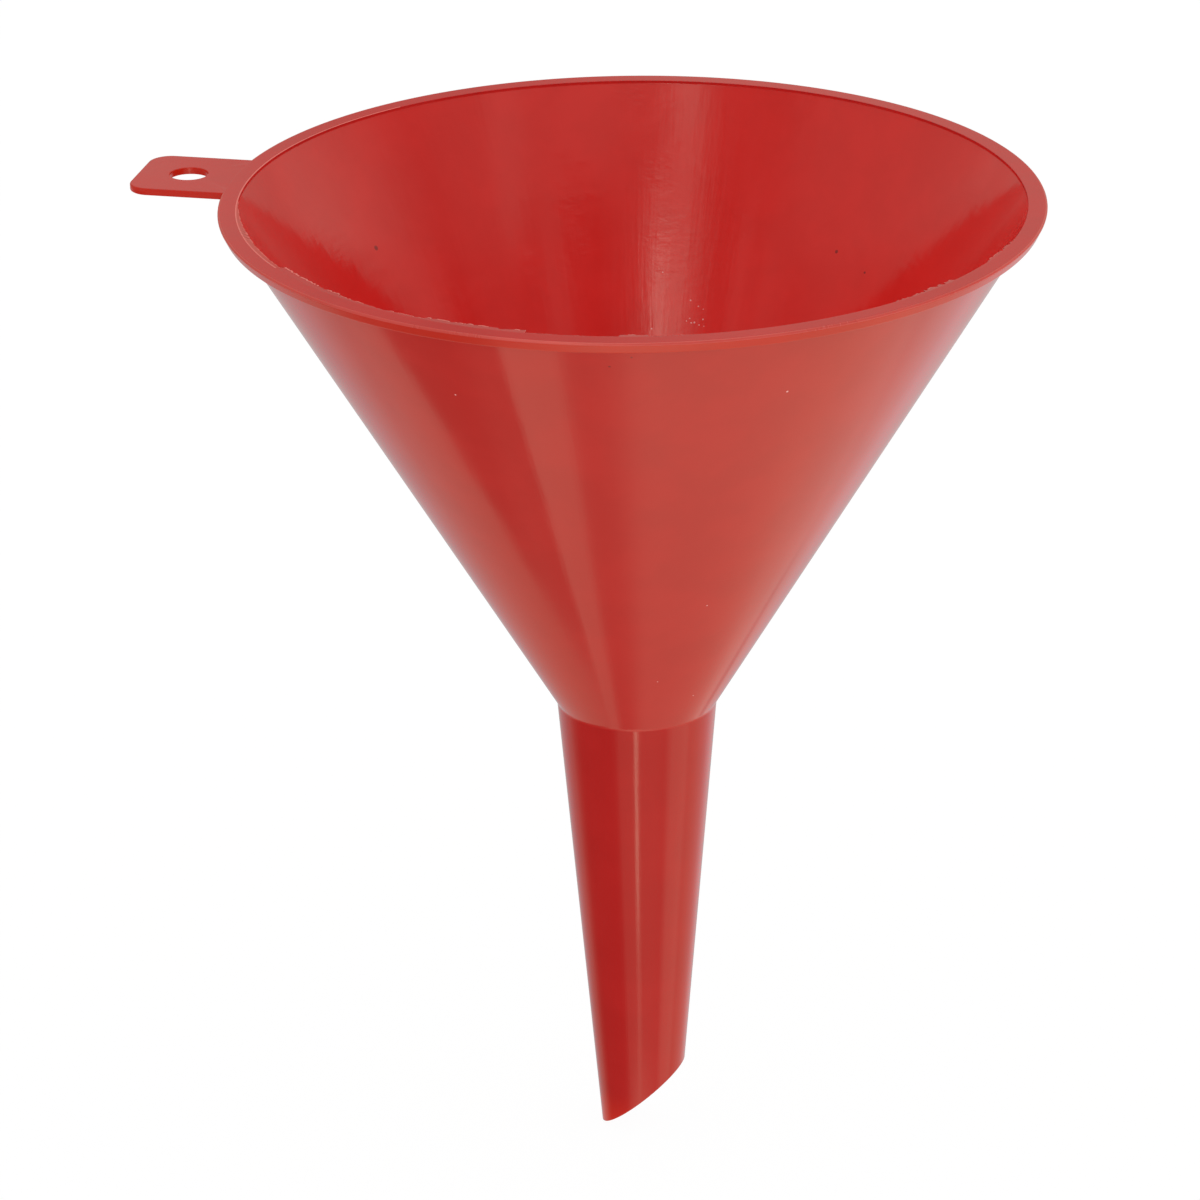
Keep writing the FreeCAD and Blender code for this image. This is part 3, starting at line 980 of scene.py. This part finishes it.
def make_floor():
    """A pale floor under the tip, which takes only a faint shade."""
    mesh = bpy.data.meshes.new("floor")
    mesh.from_pydata(square(FLOOR_HALF_WIDTH, cad_low.z), [], [(0, 1, 2, 3)])
    floor = bpy.data.objects.new("floor", mesh)
    bpy.context.scene.collection.objects.link(floor)
    material = bpy.data.materials.new("pale_floor")
    material.use_nodes = True
    tree = material.node_tree
    tree.nodes.clear()
    n = Nodes(tree)
    diffuse = n.add("ShaderNodeBsdfDiffuse")
    diffuse.inputs["Color"].default_value = grey(FLOOR_GREY)
    glow = n.add("ShaderNodeEmission")
    glow.inputs["Strength"].default_value = FLOOR_GLOW
    both = n.add("ShaderNodeAddShader")
    n.feed(diffuse.outputs[0], both.inputs[0])
    n.feed(glow.outputs[0], both.inputs[1])
    clear = n.add("ShaderNodeBsdfTransparent")
    one_sided = n.add("ShaderNodeMixShader")
    n.feed(n.add("ShaderNodeNewGeometry").outputs["Backfacing"], one_sided.inputs[0])
    n.feed(both.outputs[0], one_sided.inputs[1])
    n.feed(clear.outputs[0], one_sided.inputs[2])
    output = n.add("ShaderNodeOutputMaterial")
    n.feed(one_sided.outputs[0], output.inputs["Surface"])
    mesh.materials.append(material)
    floor.visible_glossy = False
    floor.visible_diffuse = False


def make_camera():
    """A long lens that looks down on the mouth from a little to +X of the front."""
    azimuth = math.radians(12.333)
    elevation = math.radians(23.311)
    roll = math.radians(-0.724)
    distance = 1.15474
    aim_across = -0.008313
    aim_height = 0.024673
    forward = Vector((
        -math.sin(azimuth) * math.cos(elevation),
        math.cos(azimuth) * math.cos(elevation),
        -math.sin(elevation),
    ))
    right = Vector((math.cos(azimuth), math.sin(azimuth), 0))
    up = right.cross(forward)
    aim = right * aim_across + Vector((0, 0, aim_height))
    place = aim - forward * distance
    data = bpy.data.cameras.new("camera")
    data.lens = 150.0
    data.sensor_width = 36.0
    data.clip_start = 0.05
    data.clip_end = 20.0
    camera = bpy.data.objects.new("camera", data)
    bpy.context.scene.collection.objects.link(camera)
    turned_right = math.cos(roll) * right + math.sin(roll) * up
    turned_up = -math.sin(roll) * right + math.cos(roll) * up
    matrix = camera.matrix_world.copy()
    for row in range(3):
        matrix[row][0] = turned_right[row]
        matrix[row][1] = turned_up[row]
        matrix[row][2] = -forward[row]
        matrix[row][3] = place[row]
    camera.matrix_world = matrix
    bpy.context.scene.camera = camera


# ---------------------------------------------------------------- assembly

finishes = (
    make_plastic(
        "red_outside", roughness=0.09, streaks=0.15, red=RED_OUTSIDE,
        pale=PALE_OUTSIDE, dark=DARK_OUTSIDE, wall=bowl_outside,
    ),
    make_plastic(
        "red_inside", roughness=0.10, streaks=0.5, red=RED_INSIDE,
        deep=(RED_DEEP, RIM_TOP, RIM_TOP / 2), side=0.08, flare=28.0,
        pale=PALE_INSIDE, dark=DARK_INSIDE, wall=bowl_inside,
    ),
    make_plastic("red_top", roughness=0.24, streaks=0.12, red=RED_TOP),
    make_plastic("red_edge", roughness=0.20, streaks=0.12, red=RED_EDGE),
    make_plastic(
        "red_tube", roughness=0.09, streaks=0.15, red=RED_TUBE,
        deep=(RED_TIP, TIP_GLOW_TOP, SPOUT_FOOT),
    ),
    # The last two finishes carry painted highlights; the first of them also stands for whitened
    # flash.
    make_plastic("red_whitened_and_highlight", roughness=0.30, streaks=0.3, red=RED_WHITENED_AND_HIGHLIGHT),
    make_plastic("red_painted_highlight", roughness=0.30, streaks=0.3, red=RED_PAINTED_HIGHLIGHT),
)

pieces = [
    (ring_mesh("rim", RIM_STEPS, rim_section), "rim_flange"),
    (ring_mesh("cone", BOWL_STEPS, bowl_section), "bowl"),
    (ring_mesh("neck", SPOUT_STEPS, throat_section), "throat"),
    (ring_mesh("tube", SPOUT_STEPS, spout_section), "spout"),
    (make_tab(), "hang_tab"),
]
for piece, node in pieces:
    for material in finishes:
        piece.data.materials.append(material)
    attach(piece, "root")
    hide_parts(node)

make_world()
make_table()
make_tent()
make_floor()
make_camera()
bpy.context.scene.view_settings.view_transform = "Standard"
